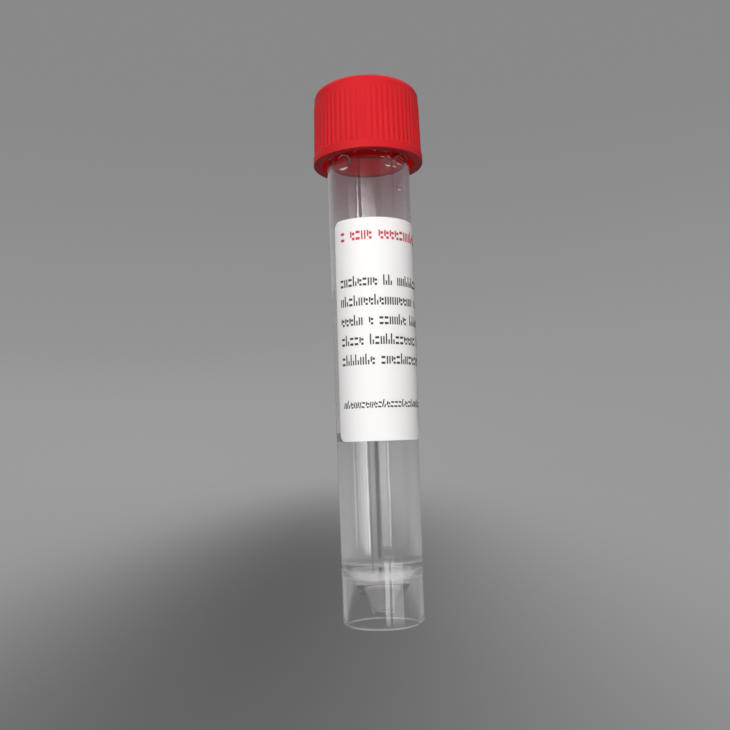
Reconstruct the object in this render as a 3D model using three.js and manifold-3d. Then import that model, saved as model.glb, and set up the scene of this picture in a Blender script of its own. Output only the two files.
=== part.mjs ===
// Screw-capped transport tube: a tapered tube that stands on a hollow skirt, with a conical floor and a
// threaded neck, its ribbed screw cap and sealing washer, the wrap label and the fluid inside.
// Millimetres, +Z up. The origin is the middle of the standing plane, and the tube's axis is the Z axis.
import * as THREE from 'three';
import { mergeVertices } from 'three/addons/utils/BufferGeometryUtils.js';
import Module from 'manifold-3d';

const wasm = await Module();
wasm.setup();

// ---------------------------------------------------------------- tube
const tubeHeight = 98.3; // standing plane to the sealing rim
const footRadius = 7.55; // outside, at the standing plane
const shoulderRadius = 8.0; // outside, at the shoulder below the neck
const neckLength = 10.9; // shoulder to rim
const barrelWall = 1.0;
const neckStep = 0.25; // how far the neck is set in from the shoulder
const skirtWall = 0.95;
const skirtDepth = 8.9; // standing plane to the underside of the web
const edgeRadius = 0.25; // every small moulded edge

// ---------------------------------------------------------------- cone
const coneTipHeight = 1.9; // how far the tip stays above the standing plane
const coneTipRadius = 1.7;
const coneRootGap = 0.4; // cone to skirt, where both meet the web
const coneWall = 1.0;
const floorFillet = 1.2;

// ---------------------------------------------------------------- thread
const threadPitch = 3.0;
const threadTurns = 1.5;
const threadDepth = 0.85;
const threadRootWidth = 1.4;
const threadCrestWidth = 0.6;
const threadDrop = 2.4; // rim down to the top end of the tube's thread
const threadGap = 0.3; // between the two threads, and from each crest to the wall it faces
const threadFade = 30; // degrees over which each end of a thread sinks into its wall
const threadSink = 0.25; // how deep a thread's root lies inside its wall
const threadStub = 0.04; // share of its height that a thread keeps at its very ends, inside its wall

// ---------------------------------------------------------------- cap
const capDrop = 11.7; // rim down to the lower edge of the cap
const capPlate = 1.6;
const capWall = 1.35; // bore to the floor of the grooves, at the flange
const capDraft = 0.15; // how much narrower the floor of the grooves is at the top
const flangeReach = 0.35; // flange beyond the floor of the grooves
const flangeHeight = 1.8;
const crownHeight = 2.4; // top of the ribs to the top of the cap
const crownFillet = 1.5;
const gateRadius = 1.5; // shallow round recess left at the moulding gate
const gateDepth = 0.25;

// ---------------------------------------------------------------- grip ribs
const ribCount = 60;
const ribReachFoot = 0.25; // crest beyond the floor of the grooves, at the flange
const ribReachTop = 0.18; // the same below the crown
const ribRunOut = 0.6; // length over which the top of a rib sinks into the crown
const ribShare = 0.8; // rib width as a share of the rib spacing
const ribSink = 0.3; // how deep a rib is let into the grooves' floor and the flange

// ---------------------------------------------------------------- washer, label and fluid
const washerThickness = 1.0;
const washerOverlap = 1.2; // how far the washer reaches in past the tube's bore
const seatGap = 0.1; // flat face to flat face
const washerRadialGap = 0.3; // washer to the crests of the cap's thread or its bore
const labelWidth = 40;
const labelHeight = 41;
const labelFoot = 33.3; // standing plane to the label's lower edge
const labelFacing = -2.5; // degrees from +X to the middle of the label
const labelCorner = 1.5;
const labelThickness = 0.12;
const labelGap = 0.05;
const fluidLevel = 34.8;
const fluidGap = 0.15;

// ---------------------------------------------------------------- facets
const tubeFacets = 48;
const capFacets = 60;
const washerFacets = 36;
const ribFacets = 3; // over the half-round crest of a rib
const stepsPerRadius = 3; // straight steps in a rounded edge for each mm of its radius, and never under 2
const labelStep = 1; // mm of arc between two columns of the label
const labelRows = 4; // facets from the label's foot to its top
const weldDistance = 1e-5; // mm between two vertices that are one

// ---------------------------------------------------------------- worked out from the sizes above
const rad = THREE.MathUtils.degToRad;
const shoulderHeight = tubeHeight - neckLength;
const neckRadius = shoulderRadius - neckStep;
const skirtBore = footRadius - skirtWall;
const coneRootRadius = skirtBore - coneRootGap;
const coneSlope = (coneRootRadius - coneTipRadius) / (skirtDepth - coneTipHeight);
const coneOffset = coneWall * Math.hypot(1, coneSlope);
const capBore = neckRadius + threadDepth + threadGap;
const grooveRadius = capBore + capWall;
const capFoot = tubeHeight - capDrop;
const plateUnderside = tubeHeight + washerThickness + 2 * seatGap;
const capTop = plateUnderside + capPlate;

// Outside radius of the tapered barrel at a height.
function barrelRadius(z) {
  return THREE.MathUtils.mapLinear(z, 0, shoulderHeight, footRadius, shoulderRadius);
}

// Inside radius of the barrel at a height.
function boreRadius(z) {
  return barrelRadius(z) - barrelWall;
}

// Inside radius of the conical floor at a height.
function floorRadius(z) {
  return coneTipRadius + (z - coneTipHeight) * coneSlope - coneOffset;
}

// Height where the conical floor runs into the straight bore.
const barrelSlope = (shoulderRadius - footRadius) / shoulderHeight;
const floorHeight = (boreRadius(0) - floorRadius(0)) / (coneSlope - barrelSlope);

// ---------------------------------------------------------------- outlines
// How many straight steps make an arc.
function arcSteps(radius) {
  return Math.max(2, Math.round(stepsPerRadius * radius));
}

// Points of an outline in the half plane (radius, height), from corners [radius, height, edge radius].
// A corner with an edge radius becomes an arc that touches both of its sides.
function roundedOutline(corners) {
  const points = [];
  corners.forEach(([x, y, radius = 0], i) => {
    const corner = new THREE.Vector2(x, y);
    if (radius === 0) {
      points.push(corner);
      return;
    }
    const [xBefore, yBefore] = corners[(i - 1 + corners.length) % corners.length];
    const [xAfter, yAfter] = corners[(i + 1) % corners.length];
    const back = new THREE.Vector2(xBefore, yBefore).sub(corner).normalize();
    const ahead = new THREE.Vector2(xAfter, yAfter).sub(corner).normalize();
    const halfAngle = Math.acos(back.dot(ahead)) / 2;
    const setback = radius / Math.tan(halfAngle);
    const towards = back.clone().add(ahead).normalize();
    const centre = corner.clone().addScaledVector(towards, radius / Math.sin(halfAngle));
    const start = corner.clone().addScaledVector(back, setback).sub(centre).angle();
    const end = corner.clone().addScaledVector(ahead, setback).sub(centre).angle();
    const turn = THREE.MathUtils.euclideanModulo(end - start + Math.PI, 2 * Math.PI) - Math.PI;
    const steps = arcSteps(radius);
    for (let step = 0; step <= steps; step += 1) {
      const angle = start + (turn * step) / steps;
      points.push(new THREE.Vector2(Math.cos(angle), Math.sin(angle)).multiplyScalar(radius).add(centre));
    }
  });
  return points;
}

// An outline turned round the Z axis.
function revolve(points, facets) {
  return new THREE.LatheGeometry(points, facets).rotateX(Math.PI / 2);
}

// ---------------------------------------------------------------- solids
// A closed mesh as a solid that can be joined and cut.
function solidOf(geometry) {
  const bare = new THREE.BufferGeometry();
  bare.setAttribute('position', geometry.getAttribute('position'));
  bare.setIndex(geometry.getIndex());
  const merged = mergeVertices(bare, weldDistance);
  const index = merged.getIndex().array;
  const triangles = [];
  for (let i = 0; i < index.length; i += 3) {
    const [a, b, c] = index.slice(i, i + 3);
    if (a !== b && b !== c && c !== a) {
      triangles.push(a, b, c);
    }
  }
  return new wasm.Manifold(new wasm.Mesh({
    numProp: 3,
    vertProperties: merged.getAttribute('position').array,
    triVerts: new Uint32Array(triangles),
  }));
}

// A solid as a mesh geometry.
function geometryOf(solid) {
  const { vertProperties, triVerts } = solid.getMesh();
  const geometry = new THREE.BufferGeometry();
  geometry.setAttribute('position', new THREE.BufferAttribute(vertProperties, 3));
  geometry.setIndex(new THREE.BufferAttribute(triVerts, 1));
  geometry.computeVertexNormals();
  return geometry;
}

// A closed skin over a row of sections. Each section is a band of points that go up one side and come down
// the other, anticlockwise when looked at from the section before it.
function sweep(sections) {
  const positions = sections.flat().flatMap((point) => point.toArray());
  const count = sections[0].length;
  const index = [];
  const quad = (a, b, c, d) => index.push(a, b, c, a, c, d);
  for (let row = 0; row < positions.length / 3 - count; row += count) {
    for (let side = 0; side < count; side += 1) {
      const next = (side + 1) % count;
      quad(row + side, row + count + side, row + count + next, row + next);
    }
  }
  const last = count * (sections.length - 1);
  for (let low = 0; low < count / 2 - 1; low += 1) {
    const across = count - 1 - low;
    quad(low, low + 1, across - 1, across);
    quad(last + across, last + across - 1, last + low + 1, last + low);
  }
  const geometry = new THREE.BufferGeometry();
  geometry.setAttribute('position', new THREE.Float32BufferAttribute(positions, 3));
  geometry.setIndex(index);
  return geometry;
}

// A point at a radius, an angle in radians from +X, and a height.
function around(radius, angle, z) {
  return new THREE.Vector3(radius * Math.cos(angle), radius * Math.sin(angle), z);
}

// ---------------------------------------------------------------- thread
// A right-hand thread that stands out from a wall, or in from it where inwards is true. Its middle climbs
// from the height foot, and both of its ends sink into the wall.
function thread(wallRadius, foot, inwards) {
  const side = inwards ? -1 : 1;
  const root = wallRadius - side * threadSink;
  const flank = (threadRootWidth - threadCrestWidth) / 2 / threadDepth;
  const total = 2 * Math.PI * threadTurns;
  const steps = Math.round(threadTurns * tubeFacets);
  const sections = [];
  for (let i = 0; i <= steps; i += 1) {
    const angle = (total * i) / steps;
    const fade = THREE.MathUtils.clamp(Math.min(angle, total - angle) / rad(threadFade), threadStub, 1);
    const reach = (threadDepth + threadSink) * fade;
    const rootHalf = threadRootWidth / 2 + threadSink * flank;
    const crestHalf = rootHalf - reach * flank;
    const middle = foot + (threadPitch * angle) / (2 * Math.PI);
    const section = [
      around(root, angle, middle - rootHalf),
      around(root + side * reach, angle, middle - crestHalf),
      around(root + side * reach, angle, middle + crestHalf),
      around(root, angle, middle + rootHalf),
    ];
    sections.push(inwards ? section.reverse() : section);
  }
  return solidOf(sweep(sections));
}

// Height of the middle of the tube's thread at its lower end.
const tubeThreadFoot = tubeHeight - threadDrop - threadPitch * threadTurns;

// The cap's thread runs just below the tube's, so that it pulls the cap down when the cap is tightened.
const meanThreadWidth = (threadRootWidth + threadCrestWidth) / 2;
const capThreadFoot = tubeThreadFoot - meanThreadWidth - threadGap;

// ---------------------------------------------------------------- pieces
function tubeBody() {
  const tip = coneTipHeight + coneWall;
  const body = revolve(roundedOutline([
    [0, coneTipHeight],
    [coneTipRadius, coneTipHeight, edgeRadius],
    [coneRootRadius, skirtDepth, 2 * edgeRadius],
    [skirtBore, skirtDepth],
    [skirtBore, 0, edgeRadius],
    [footRadius, 0, edgeRadius],
    [shoulderRadius, shoulderHeight, edgeRadius],
    [neckRadius, shoulderHeight + neckStep],
    [neckRadius, tubeHeight, edgeRadius],
    [boreRadius(tubeHeight), tubeHeight, edgeRadius],
    [boreRadius(floorHeight), floorHeight, floorFillet],
    [floorRadius(tip), tip, coneWall / 2],
    [0, tip],
  ]), tubeFacets);
  return geometryOf(solidOf(body).add(thread(neckRadius, tubeThreadFoot, false)));
}

// Radius of the drafted floor of the grooves at a height.
function grooveRadiusAt(z) {
  const foot = capFoot + flangeHeight;
  return grooveRadius - (capDraft * (z - foot)) / (capTop - foot);
}

// One grip rib: a half-round bar that leans in with height, let into the grooves' floor and the flange.
function gripRib(turn) {
  const half = (ribShare * Math.PI * grooveRadius) / ribCount;
  const top = capTop - crownHeight;
  const sections = [
    [capFoot + flangeHeight - ribSink, ribReachFoot],
    [top - ribRunOut, ribReachTop],
    [top, 0],
  ];
  const points = [];
  for (const [z, reach] of sections) {
    const floor = grooveRadiusAt(z);
    points.push([floor - ribSink, half, z], [floor - ribSink, -half, z]);
    for (let i = 0; i <= ribFacets; i += 1) {
      const angle = (Math.PI * i) / ribFacets;
      points.push([floor + reach * Math.sin(angle), half * Math.cos(angle), z]);
    }
  }
  return wasm.Manifold.hull(points).rotate([0, 0, turn]);
}

function screwCap() {
  const flangeRadius = grooveRadius + flangeReach;
  const shell = solidOf(revolve(roundedOutline([
    [0, plateUnderside],
    [capBore, plateUnderside, edgeRadius],
    [capBore, capFoot, edgeRadius],
    [flangeRadius, capFoot, edgeRadius],
    [flangeRadius, capFoot + flangeHeight, edgeRadius],
    [grooveRadius, capFoot + flangeHeight],
    [grooveRadius - capDraft, capTop, crownFillet],
    [gateRadius, capTop],
    [gateRadius, capTop - gateDepth],
    [0, capTop - gateDepth],
  ]), capFacets));
  const ribs = [];
  for (let i = 0; i < ribCount; i += 1) {
    ribs.push(gripRib((360 * (i + 0.5)) / ribCount));
  }
  const innerThread = thread(capBore, capThreadFoot, true);
  return geometryOf(wasm.Manifold.union([shell, innerThread, ...ribs]));
}

function sealingWasher() {
  const inner = boreRadius(tubeHeight) - washerOverlap;
  const outer = capBore - washerRadialGap;
  const foot = tubeHeight + seatGap;
  const top = foot + washerThickness;
  const ring = roundedOutline([
    [inner, foot, edgeRadius],
    [outer, foot, edgeRadius],
    [outer, top, edgeRadius],
    [inner, top, edgeRadius],
  ]);
  ring.push(ring[0].clone());
  return geometryOf(solidOf(revolve(ring, washerFacets)));
}

// The label, as columns of paper side by side round the tapered barrel. A column keeps its distance along
// the paper from the label's middle, so the label wraps the taper as a flat sheet does.
function wrapLabel() {
  const straight = labelWidth / 2 - labelCorner;
  const places = [];
  const steps = arcSteps(labelCorner);
  for (let i = 0; i <= steps; i += 1) {
    places.push(-straight - labelCorner * Math.cos((Math.PI / 2) * (i / steps)));
  }
  const columns = Math.ceil((2 * straight) / labelStep / 2);
  for (let i = 1 - columns; i <= 0; i += 1) {
    places.push((straight * i) / columns);
  }
  const half = places.filter((place) => place < 0);
  const whole = [...half, 0, ...half.map((place) => -place).reverse()];
  const sections = whole.map((place) => {
    const past = Math.max(0, Math.abs(place) - straight);
    const inset = labelCorner - Math.sqrt(Math.max(0, labelCorner ** 2 - past ** 2));
    const column = (lift) => Array.from({ length: labelRows + 1 }, (_, row) => {
      const z = labelFoot + inset + ((labelHeight - 2 * inset) * row) / labelRows;
      const radius = barrelRadius(z) + labelGap;
      return around(radius + lift, rad(labelFacing) + place / radius, z);
    });
    return [...column(labelThickness), ...column(0).reverse()];
  });
  return geometryOf(solidOf(sweep(sections)));
}

function transportFluid() {
  const foot = coneTipHeight + coneWall + fluidGap;
  return geometryOf(solidOf(revolve(roundedOutline([
    [0, foot],
    [floorRadius(foot) - fluidGap, foot, coneWall / 2],
    [boreRadius(floorHeight) - fluidGap, floorHeight, floorFillet],
    [boreRadius(fluidLevel) - fluidGap, fluidLevel],
    [0, fluidLevel],
  ]), tubeFacets)));
}

// ---------------------------------------------------------------- model
const model = new THREE.Group();
model.name = 'transport_tube';

function addPiece(name, geometry, look) {
  const mesh = new THREE.Mesh(geometry, new THREE.MeshStandardMaterial(look));
  mesh.name = name;
  model.add(mesh);
}

addPiece('tube_body', tubeBody(), {
  color: 0xd9dde0, roughness: 0.25, metalness: 0, transparent: true, opacity: 0.45,
});
addPiece('screw_cap', screwCap(), { color: 0xd4202b, roughness: 0.35, metalness: 0 });
addPiece('sealing_washer', sealingWasher(), { color: 0xe9e7e2, roughness: 0.55, metalness: 0 });
addPiece('label', wrapLabel(), { color: 0xf3f2ef, roughness: 0.6, metalness: 0 });
addPiece('transport_fluid', transportFluid(), {
  color: 0xe8f0f2, roughness: 0.05, metalness: 0, transparent: true, opacity: 0.5,
});

export default model;
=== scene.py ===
"""A screw-capped sample tube: the finish of its five pieces, the drops in it, and the stage it stands on."""

import math

import bmesh
import bpy
from mathutils import Matrix, Vector


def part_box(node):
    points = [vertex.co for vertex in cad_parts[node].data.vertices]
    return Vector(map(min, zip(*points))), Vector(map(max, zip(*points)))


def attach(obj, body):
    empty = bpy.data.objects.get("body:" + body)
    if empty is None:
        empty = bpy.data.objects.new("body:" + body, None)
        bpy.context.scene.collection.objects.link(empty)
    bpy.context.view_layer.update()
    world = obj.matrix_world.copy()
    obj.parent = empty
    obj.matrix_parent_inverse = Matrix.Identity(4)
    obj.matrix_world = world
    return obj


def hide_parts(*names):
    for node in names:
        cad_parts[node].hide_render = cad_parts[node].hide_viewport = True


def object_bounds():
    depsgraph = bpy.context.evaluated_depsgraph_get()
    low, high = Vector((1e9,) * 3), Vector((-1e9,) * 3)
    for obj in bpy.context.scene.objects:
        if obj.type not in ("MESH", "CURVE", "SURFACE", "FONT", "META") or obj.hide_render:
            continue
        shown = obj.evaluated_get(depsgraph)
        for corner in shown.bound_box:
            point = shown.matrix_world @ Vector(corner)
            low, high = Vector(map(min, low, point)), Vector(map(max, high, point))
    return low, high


bl_info = {
    "name": "Sample tube with a screw cap",
    "version": (1, 0, 0),
    "blender": (4, 5, 0),
    "location": "3D View > Sidebar > Sample Tube",
    "description": "Makes a ribbed screw-cap tube with a wrap label, and a plain stage for it",
    "category": "Object",
}

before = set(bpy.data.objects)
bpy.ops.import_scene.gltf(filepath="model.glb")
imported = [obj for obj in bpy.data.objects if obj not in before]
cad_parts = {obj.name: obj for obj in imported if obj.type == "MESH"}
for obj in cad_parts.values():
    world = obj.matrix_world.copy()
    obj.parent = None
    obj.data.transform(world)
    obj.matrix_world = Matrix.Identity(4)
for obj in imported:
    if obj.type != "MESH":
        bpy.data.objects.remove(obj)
CAD_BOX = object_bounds()
TUBE_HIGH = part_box("tube_body")[1]
CAP_LOW, CAP_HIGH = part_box("screw_cap")
WASHER_LOW, WASHER_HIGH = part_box("sealing_washer")
LABEL_LOW, LABEL_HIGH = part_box("label")
FLUID_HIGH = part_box("transport_fluid")[1]

MM = 0.001
FULL_TURN = 2 * math.pi
# An edge that bends more than this stays sharp, and points nearer than this are one.
SMOOTH_ANGLE = math.radians(34)
SAME_SPOT = 1e-7


# ---------------------------------------------------------------- node trees written as expressions


class Socket:
    """An output of a node. Sums and products of sockets and numbers add Math nodes."""

    def __init__(self, tree, output):
        self.tree = tree
        self.output = output

    def math(self, operation, *numbers):
        return self.tree.add("ShaderNodeMath", {"operation": operation}, dict(enumerate(numbers)))

    def of(self, operation, *others):
        """The result of a Math operation on this value, such as its sine."""
        return self.math(operation, self, *others)

    def __add__(self, other):
        return self.math("ADD", self, other)

    def __sub__(self, other):
        return self.math("SUBTRACT", self, other)

    def __mul__(self, other):
        return self.math("MULTIPLY", self, other)

    def __truediv__(self, other):
        return self.math("DIVIDE", self, other)

    def __rsub__(self, other):
        return self.math("SUBTRACT", other, self)

    __radd__ = __add__
    __rmul__ = __mul__

    def over(self, low, high):
        """0 up to low, 1 from high on, and smooth in between."""
        settings = {"interpolation_type": "SMOOTHSTEP"}
        sockets = {"Value": self, "From Min": low, "From Max": high}
        return self.tree.add("ShaderNodeMapRange", settings, sockets)


class Tree:
    """A shader or geometry node tree, with one method that adds any node."""

    def __init__(self, tree):
        self.tree = tree
        tree.nodes.clear()

    def add(self, kind, settings=None, sockets=None, output=0):
        """A new node, with its settings made first and then its sockets set or linked. What comes back is the
        output that is asked for, or a list of them, or None where the node has none."""
        node = self.tree.nodes.new(kind)
        for name, value in (settings or {}).items():
            setattr(node, name, value)
        for name, value in (sockets or {}).items():
            for one in value if isinstance(value, list) else [value]:
                if isinstance(one, Socket):
                    self.tree.links.new(one.output, node.inputs[name])
                else:
                    node.inputs[name].default_value = one
        if isinstance(output, tuple):
            return [Socket(self, node.outputs[i]) for i in output]
        return Socket(self, node.outputs[output]) if node.outputs else None

    def split(self, vector):
        """The three coordinates of a vector."""
        return self.add("ShaderNodeSeparateXYZ", None, {"Vector": vector}, output=(0, 1, 2))


FROST_WHITE = (0.86, 0.85, 0.85, 1)
FROST_ROUGHNESS = 0.6


class Finish(Tree):
    """A material whose nodes are added one by one, on Object coordinates."""

    def __init__(self, name):
        self.material = bpy.data.materials.new(name)
        self.material.use_nodes = True
        super().__init__(self.material.node_tree)
        self.place = self.add("ShaderNodeTexCoord", output="Object")

    def stretched(self, scale):
        """Object coordinates, scaled along each axis."""
        return self.add("ShaderNodeMapping", None, {"Vector": self.place, "Scale": scale})

    def noise(self, scale, detail, where=None):
        """Noise of so many cells a metre, from 0 to 1."""
        sockets = {"Vector": where or self.place, "Scale": scale, "Detail": detail}
        return self.add("ShaderNodeTexNoise", None, sockets)

    def blend(self, factor, first, second):
        """A colour between two colours."""
        sockets = {"Factor": factor, 6: first, 7: second}
        return self.add("ShaderNodeMix", {"data_type": "RGBA"}, sockets, output=2)

    def shaded(self, tone, strength):
        """A colour times a number."""
        return self.add("ShaderNodeVectorMath", {"operation": "SCALE"}, {0: tone, "Scale": strength})

    def bump(self, height, distance, strength):
        """A normal that follows a height, which is worth that distance in metres."""
        sockets = {"Height": height, "Distance": distance, "Strength": strength}
        return self.add("ShaderNodeBump", None, sockets)

    def done(self, lamplight=None, milkiness=0.0, frost=None, **sockets):
        """Ends the tree in a Principled BSDF with these inputs, given with _ for each space. lamplight is
        the share of a lamp's red, green and blue that the solid lets through to what lies behind it,
        milkiness is how much each metre of the solid scatters, and frost is how white the surface is."""
        named = {name.replace("_", " "): value for name, value in sockets.items()}
        surface = self.add("ShaderNodeBsdfPrincipled", None, named)
        if frost:
            white = {"Base Color": FROST_WHITE, "Roughness": FROST_ROUGHNESS}
            rubbed = self.add("ShaderNodeBsdfPrincipled", None, white)
            surface = self.add("ShaderNodeMixShader", None, {0: frost, 1: surface, 2: rubbed})
        if lamplight:
            from_lamp = self.add("ShaderNodeLightPath", output="Is Shadow Ray")
            open_way = self.add("ShaderNodeBsdfTransparent", None, {"Color": (*lamplight, 1)})
            surface = self.add("ShaderNodeMixShader", None, {0: from_lamp, 1: surface, 2: open_way})
        ends = {"Surface": surface}
        if milkiness:
            ends["Volume"] = self.add("ShaderNodeVolumeScatter", None, {"Density": milkiness})
        self.add("ShaderNodeOutputMaterial", None, ends)
        return self.material


class GeometryTree(Tree):
    """A Geometry Nodes tree with named inputs, put on an object and turned into a plain mesh."""

    def __init__(self, name, labels):
        group = bpy.data.node_groups.new(name, "GeometryNodeTree")
        super().__init__(group)
        group.interface.new_socket("Geometry", in_out="INPUT", socket_type="NodeSocketGeometry")
        for label in labels:
            kind = "Int" if label in ("Count", "Seed") else "Float"
            group.interface.new_socket(label, in_out="INPUT", socket_type="NodeSocket" + kind)
        group.interface.new_socket("Geometry", in_out="OUTPUT", socket_type="NodeSocketGeometry")
        self.entry = group.nodes.new("NodeGroupInput")

    def given(self, label):
        """The tree's own input of this name."""
        return Socket(self, self.entry.outputs[label])

    def vector(self, x=0.0, y=0.0, z=0.0):
        return self.add("ShaderNodeCombineXYZ", None, {"X": x, "Y": y, "Z": z})

    def places(self):
        """The three coordinates of each point."""
        return self.split(self.add("GeometryNodeInputPosition"))

    def wrapped(self, geometry, radius, angle, z):
        """The geometry with each point moved to a place round the Z axis."""
        return self.moved(geometry, radius * angle.of("COSINE"), radius * angle.of("SINE"), z)

    def moved(self, geometry, x, y, z):
        """The geometry with each point moved to a new place."""
        sockets = {"Geometry": geometry, "Position": self.vector(x, y, z)}
        return self.add("GeometryNodeSetPosition", None, sockets)

    def copies(self, points, shape, turned, scale):
        """A copy of a shape on each point."""
        sockets = {"Points": points, "Instance": shape, "Rotation": turned, "Scale": scale}
        return self.add("GeometryNodeInstanceOnPoints", None, sockets)

    def joined(self, *parts):
        return self.add("GeometryNodeJoinGeometry", None, {"Geometry": list(parts)})

    def real(self, geometry):
        return self.add("GeometryNodeRealizeInstances", None, {"Geometry": geometry})

    def random(self, low, high, salt):
        """A random number for each point, from the tree's seed."""
        sockets = {2: low, 3: high, "Seed": self.given("Seed") + salt}
        return self.add("FunctionNodeRandomValue", {"data_type": "FLOAT"}, sockets, output=1)

    def finish(self, geometry, material):
        """Ends the tree in Realize Instances and Set Material."""
        sockets = {"Geometry": self.real(geometry), "Material": material}
        painted = self.add("GeometryNodeSetMaterial", None, sockets)
        self.add("NodeGroupOutput", None, {"Geometry": painted})

    def run(self, name, mesh, values):
        """A new object whose mesh is what the tree makes of the given mesh and input values."""
        carrier = bpy.data.objects.new(name + "_carrier", mesh)
        bpy.context.scene.collection.objects.link(carrier)
        modifier = carrier.modifiers.new(name, "NODES")
        modifier.node_group = self.tree
        for item in self.tree.interface.items_tree:
            if item.in_out == "INPUT" and item.name in values:
                modifier[item.identifier] = values[item.name]
        evaluated = carrier.evaluated_get(bpy.context.evaluated_depsgraph_get())
        made = bpy.data.meshes.new_from_object(evaluated)
        made.name = name
        carrier.modifiers.remove(modifier)
        bpy.data.objects.remove(carrier)
        bpy.data.meshes.remove(mesh)
        return add_object(name, made)


# ---------------------------------------------------------------- meshes


def add_object(name, mesh, material=None):
    """A new object at the origin, smooth but for its sharp edges."""
    thing = bpy.data.objects.new(name, mesh)
    bpy.context.scene.collection.objects.link(thing)
    mesh.shade_smooth()
    mesh.set_sharp_from_angle(angle=SMOOTH_ANGLE)
    if material:
        mesh.materials.clear()
        mesh.materials.append(material)
    return thing


def mesh_of(name, shape):
    """A mesh from a bmesh, with its faces pointing outwards."""
    bmesh.ops.remove_doubles(shape, verts=shape.verts, dist=SAME_SPOT)
    bmesh.ops.recalc_face_normals(shape, faces=shape.faces)
    mesh = bpy.data.meshes.new(name)
    shape.to_mesh(mesh)
    shape.free()
    return mesh


# The longest step along a rounded edge, and the fewest steps of one.
ARC_STEP = 0.06 * MM
FEWEST_ARC_STEPS = 4
# How much of a turn each end of a thread takes to fade out.
THREAD_FADE = FULL_TURN / 12


def rounded(corners, step=ARC_STEP):
    """Points of an outline from corners (radius, height, edge radius), with an arc at each rounded one."""
    points = []
    for i, (x, z, radius) in enumerate(corners):
        corner = Vector((x, z))
        if radius == 0:
            points.append(corner)
            continue
        back = (Vector(corners[i - 1][:2]) - corner).normalized()
        ahead = (Vector(corners[(i + 1) % len(corners)][:2]) - corner).normalized()
        half = back.angle(ahead) / 2
        middle = corner + (back + ahead).normalized() * (radius / math.sin(half))
        start = corner + back * (radius / math.tan(half)) - middle
        end = corner + ahead * (radius / math.tan(half)) - middle
        bend = start.angle_signed(end)
        steps = max(FEWEST_ARC_STEPS, math.ceil(abs(bend) * radius / step))
        for k in range(steps + 1):
            angle = -bend * k / steps
            points.append(middle + Matrix.Rotation(angle, 2) @ start)
    return points


def revolve(name, outline, segments, lift=None):
    """A mesh of an outline turned round the Z axis. lift(angle, radius, height) moves a point outwards."""
    shape = bmesh.new()
    rings = []
    for x, z in outline:
        if x < SAME_SPOT:
            rings.append([shape.verts.new((0, 0, z))] * segments)
            continue
        ring = []
        for k in range(segments):
            angle = FULL_TURN * k / segments
            radius = x + (lift(angle, x, z) if lift else 0)
            ring.append(shape.verts.new((radius * math.cos(angle), radius * math.sin(angle), z)))
        rings.append(ring)
    closed = outline[0][0] > SAME_SPOT
    pairs = zip(rings, rings[1:] + rings[:1]) if closed else zip(rings, rings[1:])
    for low, high in pairs:
        for k in range(segments):
            n = (k + 1) % segments
            corners = list(dict.fromkeys((low[k], low[n], high[n], high[k])))
            if len(corners) > 2:
                shape.faces.new(corners)
    return mesh_of(name, shape)


def thread_height(angle, z, foot, turns, pitch, depth, root, crest):
    """How far a right-hand thread stands out at an angle and a height. It fades out at both ends."""
    tallest = 0.0
    for lap in range(math.ceil(turns) + 1):
        along = angle + FULL_TURN * lap
        middle = foot + pitch * along / FULL_TURN
        off = abs(z - middle)
        flank = min(1.0, max(0.0, (root / 2 - off) / ((root - crest) / 2)))
        left = min(along, FULL_TURN * turns - along)
        fade = min(1.0, max(0.0, left / THREAD_FADE))
        tallest = max(tallest, min(flank, fade) * depth)
    return tallest


# ---------------------------------------------------------------- sizes and colours that can be changed


def length(name, size, description):
    return bpy.props.FloatProperty(
        name=name, description=description, default=size, min=0.0, unit="LENGTH", precision=5
    )


def turn(name, degrees, description):
    return bpy.props.FloatProperty(
        name=name, description=description, default=math.radians(degrees), subtype="ANGLE"
    )


def share(name, size, description):
    return bpy.props.FloatProperty(
        name=name, description=description, default=size, min=0.0, max=1.0, subtype="FACTOR"
    )


def number(name, count, description):
    return bpy.props.IntProperty(name=name, description=description, default=count, min=1)


def colour(name, rgb, description):
    return bpy.props.FloatVectorProperty(
        name=name, description=description, default=rgb, size=3, min=0.0, max=1.0, subtype="COLOR"
    )


def power(name, watts, description):
    return bpy.props.FloatProperty(
        name=name, description=description, default=watts, min=0.0, unit="POWER"
    )


def amount(name, size, description):
    return bpy.props.FloatProperty(name=name, description=description, default=size, min=0.0)


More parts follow.
